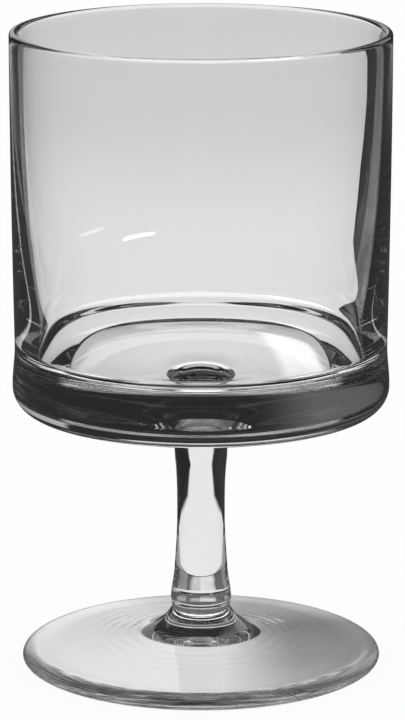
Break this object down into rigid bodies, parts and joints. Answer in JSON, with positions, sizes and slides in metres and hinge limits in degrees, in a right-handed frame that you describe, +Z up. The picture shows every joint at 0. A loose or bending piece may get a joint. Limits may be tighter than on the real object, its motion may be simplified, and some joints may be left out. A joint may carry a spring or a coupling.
{
  "type": "water goblet",
  "caption": "Clear glass water goblet: straight-sided cup with a thick base and rounded heel, on a short waisted stem and a low conical foot.",
  "frame": {"origin": "centre of the plane that the foot stands on", "axes": "+Z up the goblet's axis, from the foot to the lip; the shape is the same all round, so +X and +Y are free"},
  "size_m": [0.08, 0.08, 0.1362],
  "materials": {
    "clear_glass": "clear blown glass, fire-polished all over"
  },
  "bodies": {
    "root": {"bowl": "clear_glass", "stem": "clear_glass", "foot": "clear_glass"}
  },
  "joints": []
}
